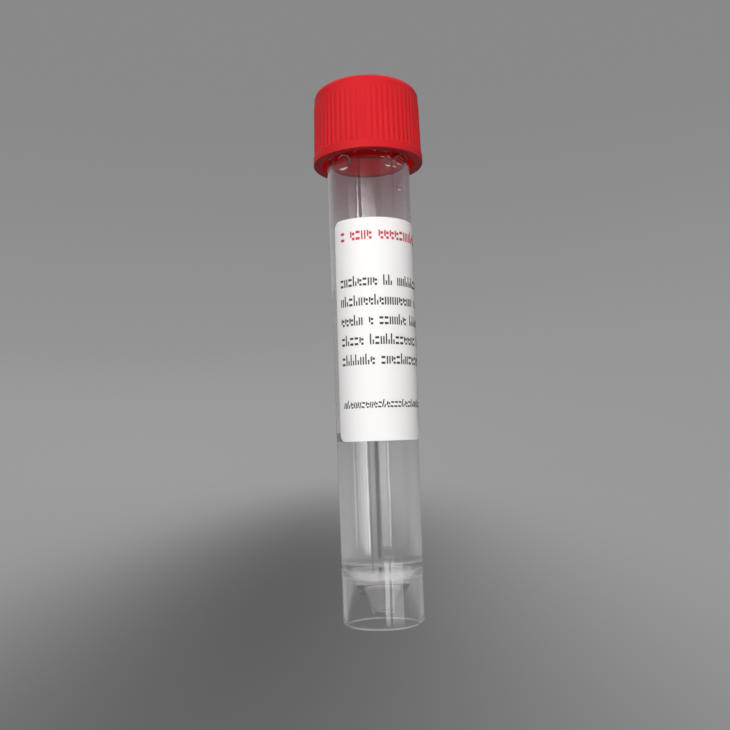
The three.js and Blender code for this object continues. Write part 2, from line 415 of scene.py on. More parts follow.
class TubeSettings(bpy.types.PropertyGroup):
    """The moulded tube: barrel, neck, conical floor and standing skirt."""

    height: length("Height", TUBE_HIGH.z, "Standing plane to the sealing rim")
    foot_radius: length("Foot radius", 7.55 * MM, "Outside radius at the standing plane")
    shoulder_radius: length("Shoulder radius", 8.0 * MM, "Outside radius below the neck")
    neck_length: length("Neck length", 10.9 * MM, "Shoulder to rim")
    neck_step: length("Neck step", 0.25 * MM, "How far the neck is set in from the shoulder")
    wall: length("Wall", 1.0 * MM, "Thickness of the barrel's wall")
    skirt_wall: length("Skirt wall", 0.95 * MM, "Thickness of the standing skirt")
    skirt_depth: length("Skirt depth", 8.9 * MM, "Standing plane to the underside of the web")
    tip_height: length("Tip height", 1.9 * MM, "How far the cone's tip stays above the standing plane")
    tip_radius: length("Tip radius", 1.7 * MM, "Radius of the cone's flat tip")
    root_gap: length("Root gap", 0.4 * MM, "Cone to skirt where both meet the web")
    cone_wall: length("Cone wall", 1.0 * MM, "Thickness of the conical floor")
    floor_fillet: length("Floor fillet", 1.2 * MM, "Inside radius where the floor meets the bore")
    edge: length("Edge radius", 0.25 * MM, "Radius of every small moulded edge")
    tint: colour("Tint", (0.95, 0.945, 0.94), "Colour of the translucent plastic")
    # Painted light: a pink, darker tint near the neck stands in for the cap's red glow and the shade under
    # the cap.
    neck_painted_glow_and_shade: colour("Neck tint", (0.71, 0.56, 0.585), "The same near the neck, which carries the cap's red")
    # Painted shade: a thin dark line on the front of the plastic stands in for the dark edge of a reflection.
    painted_line_angle: turn("Weld angle", -13.4, "From the front to the faint line where the flows met")
    painted_line_width: length("Weld width", 0.2 * MM, "Half the width of that line")
    painted_line_shade: share("Weld shade", 0.3, "How dark that line makes each face of the plastic")
    clearness: share("Clearness", 0.995, "How much light passes each face of the plastic")
    haze: share("Haze", 0.024, "How white each face above the web looks, up to the neck")
    milkiness: amount("Milkiness", 36.0, "How much each metre of the plastic scatters")
    band_frost: share("Band frost", 0.34, "How white the rubbed band round the web looks")
    foot_frost: share("Foot frost", 0.12, "How white the worn standing edge looks")
    cone_frost: share("Cone frost", 0.05, "How white the underside of the cone looks")


class ThreadSettings(bpy.types.PropertyGroup):
    """The coarse thread of the neck and the cap."""

    pitch: length("Pitch", 3.0 * MM, "How far the cap rises in a turn")
    turns: bpy.props.FloatProperty(name="Turns", description="Length of each thread", default=1.5, min=0.5)
    depth: length("Depth", 0.85 * MM, "How far a thread stands out of its wall")
    root: length("Root width", 1.4 * MM, "Width of a thread where it leaves its wall")
    crest: length("Crest width", 0.6 * MM, "Width of a thread at its crest")
    drop: length("Drop", 2.4 * MM, "Rim down to the top end of the neck's thread")
    gap: length("Gap", 0.3 * MM, "Clearance between the two threads")


class CapSettings(bpy.types.PropertyGroup):
    """The ribbed screw cap and its washer."""

    foot: length("Foot", CAP_LOW.z, "Height of the cap's lower edge")
    top: length("Top", CAP_HIGH.z, "Height of the cap's top")
    radius: length("Flange radius", CAP_HIGH.x, "Outside radius of the smooth flange")
    plate: length("Plate", 1.6 * MM, "Thickness of the top")
    flange_reach: length("Flange reach", 0.35 * MM, "Flange beyond the floor of the grooves")
    flange_height: length("Flange height", 1.8 * MM, "Height of the smooth flange")
    crown_height: length("Crown height", 2.4 * MM, "Top of the ribs to the top of the cap")
    crown_fillet: length("Crown fillet", 1.5 * MM, "Radius round the top")
    wall: length("Wall", 1.35 * MM, "Bore to the floor of the grooves, at the flange")
    draft: length("Draft", 0.15 * MM, "How much narrower the floor of the grooves is at the top")
    gate_radius: length("Gate radius", 1.5 * MM, "Radius of the recess at the moulding gate")
    gate_depth: length("Gate depth", 0.25 * MM, "Depth of the recess at the moulding gate")
    edge: length("Edge radius", 0.25 * MM, "Radius of every small moulded edge")
    ribs: number("Ribs", 60, "How many grip ribs go round the cap")
    rib_foot: length("Rib reach at the flange", 0.18 * MM, "Crest beyond the floor of the grooves")
    rib_top: length("Rib reach at the crown", 0.10 * MM, "Crest beyond the floor of the grooves")
    rib_root: length("Rib root", 0.12 * MM, "How deep a rib is set into the floor of the grooves")
    rib_run_out: length("Rib run-out", 0.6 * MM, "Length over which a rib sinks into the crown")
    rib_share: share("Rib share", 0.8, "Width of a rib as a share of the rib spacing")
    red: colour("Red", (0.60, 0.014, 0.02), "Colour of the cap")
    glow: colour("Glow", (0.95, 0.07, 0.08), "The light that the cap's wall lets through")
    silicone: colour("Silicone", (0.80, 0.79, 0.75), "Colour of the sealing washer")


class LabelSettings(bpy.types.PropertyGroup):
    """The paper label and its print."""

    foot: length("Foot", LABEL_LOW.z, "Height of the label's lower edge")
    top: length("Top", LABEL_HIGH.z, "Height of the label's upper edge")
    width: length("Width", 40 * MM, "Length of the label along the paper")
    corner: length("Corner radius", 1.5 * MM, "Radius of the label's corners")
    thickness: length("Thickness", 0.12 * MM, "Thickness of the paper")
    gap: length("Gap", 0.05 * MM, "Label to barrel")
    facing: turn("Facing", -2.5, "From +X to the middle of the label")
    margin: length("Margin", 1.45 * MM, "Left edge of the label to the start of each row")
    spacing: length("Row spacing", 3.62 * MM, "From one row of print to the next")
    first_row: length("First row", 28.3 * MM, "Label's lower edge to the foot of the highest plain row")
    ink_depth: length("Ink depth", 0.03 * MM, "Thickness of the print, half of it proud of the paper")
    paper: colour("Paper", (0.875, 0.85, 0.835), "Colour of the paper")
    ink: colour("Ink", (0.022, 0.022, 0.026), "Colour of the rows of print")
    title_ink: colour("Title ink", (0.50, 0.020, 0.045), "Colour of the heading")


class FluidSettings(bpy.types.PropertyGroup):
    """The fluid and the drops that cling to the wall."""

    level: length("Level", FLUID_HIGH.z, "Height of the fluid's flat surface")
    wetting: length("Wetting", 0.03 * MM, "How far the fluid is let into the wall, so that no air shows")
    climb: length("Climb", 0.2 * MM, "How far the fluid climbs the wall")
    reach: length("Reach", 1.2 * MM, "How far from the wall the climb starts")
    flatness: share("Flatness", 0.45, "Thickness of a drop as a share of half its width")
    mist: number("Mist", 40, "How many fine drops cling to the wall under the cap")
    mist_size: length("Mist size", 0.28 * MM, "Half the width of the largest fine drop")
    # Painted highlight: the white lower edge of each drop stands in for light caught there.
    rim: share("Rim", 0.8, "How white the lower edge of a drop looks")
    tint: colour("Tint", (0.985, 0.985, 0.98), "Colour of the fluid")


class StageSettings(bpy.types.PropertyGroup):
    """The floor, the lamps and the camera."""

    floor: colour("Floor", (0.18, 0.18, 0.183), "Colour of the floor and the wall round it")
    backdrop: colour("Backdrop", (0.372, 0.372, 0.378), "The even tone that the floor and wall are seen in")
    evenness: share("Evenness", 0.8, "How much of that even tone hides the lamps' light and the shadow")
    shadow_depth: share("Shadow depth", 0.7, "How dark the soft shadow on the floor is")
    shadow_width: length("Shadow width", 0.055, "How far the soft shadow reaches to each side")
    shadow_length: length("Shadow length", 0.3, "How far the soft shadow reaches back")
    wall_shade: share("Wall shade", 0.19, "How much darker the wall is higher up")
    floor_radius: length("Floor radius", 1.1, "Half the width of the floor")
    wall_height: length("Wall height", 1.0, "Height of the wall round the floor")
    sweep: length("Sweep", 0.5, "Radius of the curve where the floor turns up into the wall")
    key_power: power("Key power", 8.4, "Power of the main lamp")
    fill_power: power("Fill power", 0.3, "Power of the fill lamp")
    low_power: power("Low power", 0.08, "Power of the lamp on the floor in front")
    back_power: power("Back power", 3.6, "Power of the lamp behind")
    sky: share("Sky", 0.1, "Strength of the even light from above")
    cards: amount("Cards", 1.0, "Strength of the highlight cards")
    lens: amount("Lens", 39.63, "Focal length in millimetres")
    camera_place: bpy.props.FloatVectorProperty(
        name="Camera place",
        description="Where the camera stands",
        default=(-1.91 * MM, -152.47 * MM, 33.43 * MM),
        unit="LENGTH",
        precision=5,
    )
    camera_pitch: turn("Camera pitch", 5.373, "How far the camera looks up")
    camera_roll: turn("Camera roll", -1.94, "How far the camera is turned about its line of sight")


class SampleTubeSettings(bpy.types.PropertyGroup):
    """Every size and colour of the sample tube."""

    tube: bpy.props.PointerProperty(type=TubeSettings, name="Tube", description="The moulded tube")
    thread: bpy.props.PointerProperty(type=ThreadSettings, name="Thread", description="Neck and cap thread")
    cap: bpy.props.PointerProperty(type=CapSettings, name="Cap", description="Screw cap and washer")
    label: bpy.props.PointerProperty(type=LabelSettings, name="Label", description="Label and print")
    fluid: bpy.props.PointerProperty(type=FluidSettings, name="Fluid", description="Fluid and drops")
    stage: bpy.props.PointerProperty(type=StageSettings, name="Stage", description="Floor, lamps, camera")


# ---------------------------------------------------------------- what several pieces are measured from


def barrel_radius(tube, z):
    """Outside radius of the tapered barrel at a height."""
    return tube.foot_radius + taper(tube) * z


def cone(tube):
    """Slope of the cone, and how far its inside lies from its outside, measured across."""
    root = tube.foot_radius - tube.skirt_wall - tube.root_gap
    slope = (root - tube.tip_radius) / (tube.skirt_depth - tube.tip_height)
    return slope, tube.cone_wall * math.hypot(1, slope)


def floor_radius(tube, z):
    """Inside radius of the conical floor at a height."""
    slope, offset = cone(tube)
    return tube.tip_radius + (z - tube.tip_height) * slope - offset


def floor_height(tube):
    """Height where the conical floor runs into the straight bore."""
    slope = cone(tube)[0]
    return (tube.foot_radius - tube.wall - floor_radius(tube, 0)) / (slope - taper(tube))


def neck_radius(tube):
    """Outside radius of the neck."""
    return tube.shoulder_radius - tube.neck_step


def taper(tube):
    """How much wider the barrel's radius grows with each metre of height."""
    return (tube.shoulder_radius - tube.foot_radius) / (tube.height - tube.neck_length)


def spot_at(angle, distance, z):
    """A point round the tube's axis, at an angle in radians from the front, positive to the right."""
    return Vector((math.sin(angle) * distance, -math.cos(angle) * distance, z))


def thread_on(thread, foot, sign, radius):
    """How revolve raises a thread on the wall at that radius: outwards for sign 1, inwards for -1."""

    def lift(angle, x, z):
        if abs(x - radius) > SAME_SPOT:
            return 0.0
        height = thread_height(
            angle, z, foot, thread.turns, thread.pitch, thread.depth, thread.root, thread.crest
        )
        return sign * height

    return lift


def neck_thread_foot(tube, thread):
    """Height of the middle of the neck's thread at its lower end."""
    return tube.height - thread.drop - thread.pitch * thread.turns


# ---------------------------------------------------------------- finishes


SEEN_WAYS = ("Is Camera Ray", "Is Glossy Ray", "Is Transmission Ray")
# The middle of the soft shadow on the floor.
SHADOW_MIDDLE = (-0.022, 0.01)
POLYPROPYLENE_IOR = 1.49
SILICONE_IOR = 1.41
WATER_IOR = 1.333
# The share of a lamp's light that reaches what is inside the plastic, and what is inside the fluid.
THROUGH_PLASTIC = (0.92, 0.92, 0.92)
THROUGH_FLUID = (0.97, 0.97, 0.97)
# Where the painted red glow and shade under the cap start and are full, as shares of the shoulder's height.
PAINTED_GLOW_RANGE = (0.75, 0.98)
# How deep in from the outside, as shares of the wall, a rubbed place ends and starts.
OUTSIDE_RANGE = (0.3, 0.1)
# How high the worn standing edge reaches, in edge radii.
WORN_HEIGHT = 2.4
# The radius at which the white of the cone's underside ends, as a share of the skirt's depth.
CONE_REACH = 0.75
# Where the rubbed band starts and is full, and where it fades and ends, in cone walls from the web's middle.
BAND_FOOT = (-1.0, -0.4)
BAND_TOP = (0.2, 1.4)


def shade_of(rgb, strength):
    """A colour made lighter or darker, with its alpha."""
    return (*[min(1.0, strength * channel) for channel in rgb], 1)


def natural_plastic(tube):
    """Natural polypropylene: clear with a faint haze, drawn lines along the mould, and white where rubbed,
    with painted glow, shade and a dark line.
    """
    finish = Finish("natural_plastic")
    lines = finish.noise(1.0, 2.0, finish.stretched((2600, 2600, 60)))
    ripple = finish.noise(300, 2.0)
    haze = finish.noise(900, 4.0).over(0.35, 0.75)
    x, y, height = finish.split(finish.place)
    radius = (x * x + y * y).of("SQRT")
    shoulder = tube.height - tube.neck_length
    web = tube.skirt_depth + tube.cone_wall / 2
    near_cap = height.over(*[part * shoulder for part in PAINTED_GLOW_RANGE])
    outside = radius.over(*[tube.foot_radius - part * tube.wall for part in OUTSIDE_RANGE])
    band_foot = height.over(*[web + walls * tube.cone_wall for walls in BAND_FOOT])
    band = band_foot * (1 - height.over(*[web + walls * tube.cone_wall for walls in BAND_TOP]))
    foot = 1 - height.over(0.0, WORN_HEIGHT * tube.edge)
    cone_end = CONE_REACH * tube.skirt_depth
    cone_side = (1 - radius.over(tube.tip_radius, cone_end)) * (1 - height.over(web, web + MM))
    above_web = height.over(web, web + tube.cone_wall)
    barrel = above_web * (1 - near_cap)
    # Painted shade: a thin dark line on the front, for the dark edge of a reflection.
    off_line = (x * math.cos(tube.painted_line_angle) + y * math.sin(tube.painted_line_angle)).of("ABSOLUTE")
    painted_dark_line = (1 - off_line.over(0.4 * tube.painted_line_width, tube.painted_line_width)) * y.of("LESS_THAN", 0.0) * above_web
    # Painted light: the plastic turns pink and darker towards the cap, for the cap's red glow and its shade.
    plain = finish.blend(near_cap, (*tube.tint, 1), (*tube.neck_painted_glow_and_shade, 1))
    rubbed = outside * band * tube.band_frost + foot * tube.foot_frost + cone_side * tube.cone_frost
    return finish.done(
        lamplight=THROUGH_PLASTIC,
        milkiness=tube.milkiness,
        frost=(rubbed + barrel * tube.haze) * (haze * 0.12 + 0.94),
        Base_Color=finish.shaded(plain, 1 - painted_dark_line * tube.painted_line_shade),
        Roughness=haze * 0.04 + 0.03,
        Transmission_Weight=tube.clearness,
        IOR=POLYPROPYLENE_IOR,
        Normal=finish.bump(lines * 0.3 + ripple, 0.02 * MM, 0.6),
    )


def red_plastic(cap):
    """Red moulded polypropylene, satin, a little darker in places."""
    finish = Finish("red_plastic")
    cloud = finish.noise(220, 3.0)
    grain = finish.noise(6500, 3.0)
    return finish.done(
        lamplight=cap.glow,
        Base_Color=finish.blend(cloud, shade_of(cap.red, 0.86), (*cap.red, 1)),
        Roughness=grain * 0.12 + 0.42,
        IOR=POLYPROPYLENE_IOR,
        Specular_IOR_Level=0.14,
        Subsurface_Weight=0.1,
        Subsurface_Radius=(1.0, 0.2, 0.15),
        Subsurface_Scale=0.8 * MM,
        Normal=finish.bump(grain + cloud * 2.0, 0.012 * MM, 0.5),
    )


def silicone(cap):
    """Matt silicone, a little paler in places."""
    finish = Finish("silicone")
    cloud = finish.noise(700, 3.0)
    return finish.done(
        Base_Color=finish.blend(cloud, (*cap.silicone, 1), shade_of(cap.silicone, 1.06)),
        Roughness=cloud * 0.1 + 0.45,
        IOR=SILICONE_IOR,
        Normal=finish.bump(cloud, 0.02 * MM, 0.4),
    )


def coated_paper(label):
    """White coated label paper, with fine fibres that show in its gloss and hardly in its tone."""
    finish = Finish("coated_paper")
    fibre = finish.noise(1.0, 5.0, finish.stretched((9000, 9000, 2600)))
    cloud = finish.noise(160, 2.0)
    mottle = cloud * 0.6 + fibre * 0.4
    return finish.done(
        Base_Color=finish.blend(mottle, shade_of(label.paper, 0.955), (*label.paper, 1)),
        Roughness=fibre * 0.15 + 0.46,
        Specular_IOR_Level=0.42,
        Subsurface_Weight=0.45,
        Subsurface_Radius=(1.0, 1.0, 1.0),
        Subsurface_Scale=2 * label.thickness,
        Normal=finish.bump(fibre, 0.006 * MM, 0.5),
    )


def printed_ink(name, rgb):
    """Printed ink, thinner in places, so that a little paper shows."""
    finish = Finish(name)
    grain = finish.noise(9000, 2.0)
    thin = tuple(channel + 0.05 for channel in rgb)
    return finish.done(
        Base_Color=finish.blend(grain.over(0.45, 0.8), (*rgb, 1), (*thin, 1)),
        Roughness=grain * 0.1 + 0.38,
        Normal=finish.bump(grain, 0.004 * MM, 0.4),
    )


def clear_fluid(name, fluid, rim=0.0):
    """Clear watery fluid, not quite still at its surface. rim is how white the painted highlight on a drop's
    lower edge is.
    """
    finish = Finish(name)
    ripple = finish.noise(130, 1.0)
    # Painted highlight: the lower edges of the drops are made white.
    edge = finish.add("ShaderNodeAttribute", {"attribute_name": "rim"}, output="Fac") if rim else None
    return finish.done(
        lamplight=THROUGH_FLUID,
        frost=edge * rim if rim else None,
        Base_Color=(*fluid.tint, 1),
        Roughness=0.0,
        Transmission_Weight=1.0,
        IOR=WATER_IOR,
        Normal=finish.bump(ripple, 0.01 * MM, 0.3),
    )


def seen_directly(tree):
    """1 for what the camera sees, also through clear plastic and in gloss, and 0 for light on the object."""
    ways = [tree.add("ShaderNodeLightPath", output=way) for way in SEEN_WAYS]
    return (ways[0] + ways[1] + ways[2]).of("MINIMUM", 1.0)


def studio_grey(stage):
    """Matt grey with a faint mottle, evened out where it is seen, so that only a soft shadow shows on it."""
    finish = Finish("studio_grey")
    cloud = finish.noise(3.0, 3.0)
    grain = finish.noise(700, 3.0)
    mottle = (cloud * 0.7 + grain * 0.3 - 0.5) * 0.1 + 1.0
    grey = finish.shaded(tuple(stage.floor), mottle)
    lit = {"Base Color": grey, "Roughness": 0.9, "Specular IOR Level": 0.0}
    matt = finish.add("ShaderNodeBsdfPrincipled", None, lit)
    x, y, height = finish.split(finish.place)
    across = (x - SHADOW_MIDDLE[0]) / stage.shadow_width
    along = (y - SHADOW_MIDDLE[1]) / stage.shadow_length
    shadow = (0 - (across * across + along * along + height * 2)).of("EXPONENT")
    upwards = height.over(0.0, 0.6 * stage.wall_height)
    strength = (1 - shadow * stage.shadow_depth) * (1 - upwards * stage.wall_shade)
    even = finish.add("ShaderNodeEmission", None, {"Color": (*stage.backdrop, 1), "Strength": strength})
    evenly = seen_directly(finish) * stage.evenness
    surface = finish.add("ShaderNodeMixShader", None, {0: evenly, 1: matt, 2: even})
    finish.add("ShaderNodeOutputMaterial", None, {"Surface": surface})
    return finish.material


def card_glow(stage):
    """The glow of a card, as strong as its own attribute says."""
    finish = Finish("card_glow")
    glow = finish.add("ShaderNodeAttribute", {"attribute_name": "glow"}, output="Fac")
    light = finish.add("ShaderNodeEmission", None, {"Strength": glow * stage.cards})
    finish.add("ShaderNodeOutputMaterial", None, {"Surface": light})
    return finish.material


# ---------------------------------------------------------------- pieces


# Points round a moulding, and the height of the rows of points that carry a thread.
SEGMENTS = 192
ROW_STEP = 0.1 * MM
# How far a rib still stands out at its very end, as a share of its reach at the crown.
LAST_RISE = 0.05
# Points round a rib, and rows of points up it.
RIB_SIDES = 16
RIB_ROWS = 14
# How finely the label's corners, its straight run and its height are divided.
CORNER_STEPS = 10
RUN_STEPS = 96
LABEL_ROWS = 24
# How finely the fluid's drawn-up edge is divided, and how fast it falls.
CLIMB_STEPS = 16
CLIMB_FALL = 4
# Thickness of a stroke in the print, as a share of a mark's width or height.
STROKE = 0.29
# The marks of the print, which spell nothing: for each bar its middle, foot, width and height, as shares.
MARKS = (
    ((-0.27, 0, STROKE, 1.0), (0.27, 0, STROKE, 1.0)),
    ((0, 0, 0.8, STROKE), (0, 0.72, 0.8, STROKE)),
    ((-0.27, 0, STROKE, 1.36), (0.27, 0, STROKE, 0.6)),
    ((-0.27, 0.3, STROKE, 0.7), (0.2, 0, 0.5, STROKE), (0.2, 0.55, 0.5, STROKE)),
)
# Share of the marks in a row that are left out, to part it into words.
WORD_SPACES = 0.11
# The print, in mm: the rows (height above the label's foot, indent, length), the pitch, width and height of
# their marks, then how many degrees they lean, and a seed.
HEADING = (((36.9, 0.45, 27.0),), 1.06, 1.02, 1.66, 0, 11)
PLAIN_ROW_LENGTHS = (21.0, 18.6, 20.2, 23.4, 21.6)
PLAIN_ROW_MARKS = (0.94, 0.90, 1.44, 0, 23)
SMALL_ROW = (((6.0, 0.0, 26.0),), 0.76, 0.74, 1.06, 12, 37)
# The larger drops: degrees from the front, positive to the right, then height and half the width in mm.
LARGE_DROPS = (
    (-62.0, 86.9, 0.4),
    (-39.5, 85.6, 1.5),
    (-20.0, 87.7, 0.55),
    (9.6, 87.7, 0.6),
    (21.5, 86.6, 0.7),
    (31.5, 86.8, 0.6),
    (29.5, 85.2, 0.9),
    (41.0, 85.1, 0.75),
    (50.5, 86.0, 0.9),
    (60.0, 87.1, 0.6),
    (49.5, 80.8, 0.7),
)
# Where the fine drops start and end, their smallest share of the full size, and their seed.
MIST_LOW = 77 * MM
MIST_HIGH = 88 * MM
SMALLEST_MIST = 0.35
MIST_SEED = 5
# Where the painted highlight on a drop's lower edge starts to show and is full, as shares of its half height
# below its middle.
PAINTED_HIGHLIGHT_RANGE = (0.62, 0.92)


def with_rows(points, radius):
    """The outline with rows of points added where it runs straight up or down at that radius."""
    made = []
    for here, ahead in zip(points, points[1:]):
        made.append(here)
        if abs(here.x - radius) < SAME_SPOT and abs(ahead.x - radius) < SAME_SPOT:
            count = math.ceil((ahead - here).length / ROW_STEP)
            made += [here.lerp(ahead, i / count) for i in range(1, count)]
    return made + points[-1:]


def make_tube(tube, thread):
    """One moulding: skirt, web, cone, barrel and threaded neck, with its bore."""
    bore = tube.foot_radius - tube.skirt_wall
    root = bore - tube.root_gap
    shoulder = tube.height - tube.neck_length
    neck = neck_radius(tube)
    floor = floor_height(tube)
    tip = tube.tip_height + tube.cone_wall
    edge = tube.edge
    outline = rounded([
        (0, tube.tip_height, 0),
        (tube.tip_radius, tube.tip_height, edge),
        (root, tube.skirt_depth, 2 * edge),
        (bore, tube.skirt_depth, 0.8 * edge),
        (bore, 0, edge),
        (tube.foot_radius, 0, edge),
        (tube.shoulder_radius, shoulder, edge),
        (neck, shoulder + tube.neck_step, 0),
        (neck, tube.height, edge),
        (barrel_radius(tube, tube.height) - tube.wall, tube.height, edge),
        (barrel_radius(tube, floor) - tube.wall, floor, tube.floor_fillet),
        (floor_radius(tube, tip), tip, tube.cone_wall / 2),
        (0, tip, 0),
    ])
    lift = thread_on(thread, neck_thread_foot(tube, thread), 1, neck)
    mesh = revolve("tube", with_rows(outline, neck), SEGMENTS, lift)
    made = add_object("tube", mesh, natural_plastic(tube))
    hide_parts("tube_body")
    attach(made, "tube")


def rib_tree(material):
    """Rounded ribs that lean in side by side round the cap, joined to the mesh they are put on."""
    sizes = ["Radius", "Lean", "Foot Reach", "Top Reach", "Root", "Run Out", "Half Width", "Foot", "Top"]
    tree = GeometryTree("grip_ribs", ["Count", *sizes])
    foot = tree.given("Foot")
    tall = tree.given("Top") - foot
    sides = {"Vertices": RIB_SIDES, "Side Segments": RIB_ROWS, "Radius": 1.0, "Depth": 1.0}
    rod = tree.add("GeometryNodeMeshCylinder", None, sides)
    out, across, up = tree.places()
    height = (up + 0.5) * tall
    leaning = tree.given("Foot Reach") + (tree.given("Top Reach") - tree.given("Foot Reach")) * height / tall
    sinking = tree.given("Top Reach") * ((tall - height) / tree.given("Run Out") + LAST_RISE)
    floor = tree.given("Radius") - tree.given("Lean") * height
    proud = out.of("MAXIMUM", 0.0)
    rooted = out.of("MINIMUM", 0.0) * tree.given("Root")
    crest = floor + proud * proud * leaning.of("MINIMUM", sinking) + rooted
    placed = tree.moved(rod, crest, across * tree.given("Half Width"), foot + height)
    points = tree.add("GeometryNodePoints", None, {"Count": tree.given("Count")})
    index = tree.add("GeometryNodeInputIndex")
    turned = tree.vector(0.0, 0.0, (index + 0.5) * FULL_TURN / tree.given("Count"))
    ribs = tree.copies(points, placed, turned, (1, 1, 1))
    tree.finish(tree.joined(ribs, tree.given("Geometry")), material)
    return tree


def make_cap(cap, tube, thread):
    """One moulding: plate, crown, ribbed grip and flange outside, threaded bore inside."""
    groove = cap.radius - cap.flange_reach
    bore = groove - cap.wall
    under = cap.top - cap.plate
    edge = cap.edge
    outline = rounded([
        (0, under, 0),
        (bore, under, edge),
        (bore, cap.foot, edge),
        (cap.radius, cap.foot, edge),
        (cap.radius, cap.foot + cap.flange_height, edge),
        (groove, cap.foot + cap.flange_height, 0),
        (groove - cap.draft, cap.top, cap.crown_fillet),
        (cap.gate_radius, cap.top, edge / 3),
        (cap.gate_radius, cap.top - cap.gate_depth, edge / 3),
        (0, cap.top - cap.gate_depth, 0),
    ])
    mean_width = (thread.root + thread.crest) / 2
    thread_foot = neck_thread_foot(tube, thread) - mean_width - thread.gap
    lift = thread_on(thread, thread_foot, -1, bore)
    shell = revolve("cap_shell", with_rows(outline, bore), SEGMENTS, lift)
    made = rib_tree(red_plastic(cap)).run("cap", shell, {
        "Count": cap.ribs,
        "Radius": groove,
        "Lean": cap.draft / (cap.top - cap.foot - cap.flange_height),
        "Foot Reach": cap.rib_foot,
        "Top Reach": cap.rib_top,
        "Root": cap.rib_root,
        "Run Out": cap.rib_run_out,
        "Half Width": cap.rib_share * math.pi * groove / cap.ribs,
        "Foot": cap.foot + cap.flange_height,
        "Top": cap.top - cap.crown_height,
    })
    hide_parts("screw_cap")
    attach(made, "cap")


def make_washer(cap):
    """The flat silicone ring between the rim and the cap's plate."""
    inner = min(vertex.co.xy.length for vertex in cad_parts["sealing_washer"].data.vertices)
    edge = cap.edge
    ring = rounded([
        (inner, WASHER_LOW.z, edge),
        (WASHER_HIGH.x, WASHER_LOW.z, edge),
        (WASHER_HIGH.x, WASHER_HIGH.z, edge),
        (inner, WASHER_HIGH.z, edge),
    ])
    made = add_object("washer", revolve("washer", ring, SEGMENTS // 2), silicone(cap))
    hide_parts("sealing_washer")
    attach(made, "seal")


def make_label(label, tube):
    """The paper, wrapped round the tapered barrel as a flat sheet with rounded corners."""
    straight = label.width / 2 - label.corner
    quarter = math.pi / 2
    arc = [straight + label.corner * math.sin(quarter * i / CORNER_STEPS) for i in range(CORNER_STEPS + 1)]
    places = [-place for place in reversed(arc)]
    places += [straight * (2 * i / RUN_STEPS - 1) for i in range(1, RUN_STEPS)]
    places += arc
    shape = bmesh.new()
    columns = []
    for place in places:
        past = max(0.0, abs(place) - straight)
        inset = label.corner - math.sqrt(max(0.0, label.corner**2 - past**2))
        foot = label.foot + inset
        tall = label.top - label.foot - 2 * inset
        inside = []
        outside = []
        for row in range(LABEL_ROWS + 1):
            z = foot + tall * row / LABEL_ROWS
            radius = barrel_radius(tube, z) + label.gap
            angle = label.facing + place / radius
            spot = Vector((math.cos(angle), math.sin(angle), 0))
            inside.append(shape.verts.new(spot * radius + Vector((0, 0, z))))
            outside.append(shape.verts.new(spot * (radius + label.thickness) + Vector((0, 0, z))))
        columns.append(outside + inside[::-1])
    for here, ahead in zip(columns, columns[1:]):
        for i in range(len(here)):
            n = (i + 1) % len(here)
            shape.faces.new((here[i], ahead[i], ahead[n], here[n]))
    for end in (columns[0], columns[-1]):
        for i in range(LABEL_ROWS):
            shape.faces.new((end[i], end[i + 1], end[-2 - i], end[-1 - i]))
    made = add_object("paper_label", mesh_of("paper_label", shape), coated_paper(label))
    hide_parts("label")
    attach(made, "tube")


def bar(tree, x, foot, width, height):
    """A bar of a mark, in shares of the mark's width and height, with its foot above the row's line."""
    box = tree.add("GeometryNodeMeshCube", None, {"Size": (width, 1.0, height)})
    middle = (x, 0, foot + height / 2)
    return tree.add("GeometryNodeTransform", None, {"Geometry": box, "Translation": middle})


def marks(tree):
    """The marks that the print is made of, as instances to pick from."""
    made = []
    for bars in MARKS:
        mark = tree.joined(*[bar(tree, *each) for each in bars])
        made.append(tree.add("GeometryNodeGeometryToInstance", None, {"Geometry": mark}))
    return tree.joined(*made)


def row_tree(material):
    """Rows of small marks in words, spaced along flat lines and then wrapped on the paper."""
    labels = ["Pitch", "Width", "Height", "Depth", "Lean", "Facing", "Radius", "Taper", "Seed"]
    tree = GeometryTree("print_rows", labels)
    lines = tree.add("GeometryNodeMeshToCurve", None, {"Mesh": tree.given("Geometry")})
    spots = {"Curve": lines, "Length": tree.given("Pitch")}
    points = tree.add("GeometryNodeCurveToPoints", {"mode": "LENGTH"}, spots)
    spaces = tree.random(0.0, 1.0, 1).of("LESS_THAN", WORD_SPACES)
    words = tree.add("GeometryNodeDeleteGeometry", None, {"Geometry": points, "Selection": spaces})
    picked = tree.add("GeometryNodeInstanceOnPoints", None, {
        "Points": words,
        "Instance": marks(tree),
        "Pick Instance": True,
        "Instance Index": tree.random(0.0, float(len(MARKS)), 2).of("FLOOR"),
        "Rotation": tree.vector(0.0, tree.given("Lean"), 0.0),
        "Scale": tree.vector(tree.given("Width"), tree.given("Depth"), tree.given("Height")),
    })
    flat = tree.real(picked)
    along, out, up = tree.places()
    paper = tree.given("Radius") + tree.given("Taper") * up
    angle = tree.given("Facing") + along / paper
    tree.finish(tree.wrapped(flat, paper - out, angle, up), material)
    return tree


def row_lines(name, label, rows):
    """A flat mesh with one edge for each row of print."""
    shape = bmesh.new()
    for height, indent, run in rows:
        start = label.margin + indent * MM - label.width / 2
        z = label.foot + height * MM
        shape.edges.new([shape.verts.new((x, 0, z)) for x in (start, start + run * MM)])
    mesh = bpy.data.meshes.new(name)
    shape.to_mesh(mesh)
    shape.free()
    return mesh


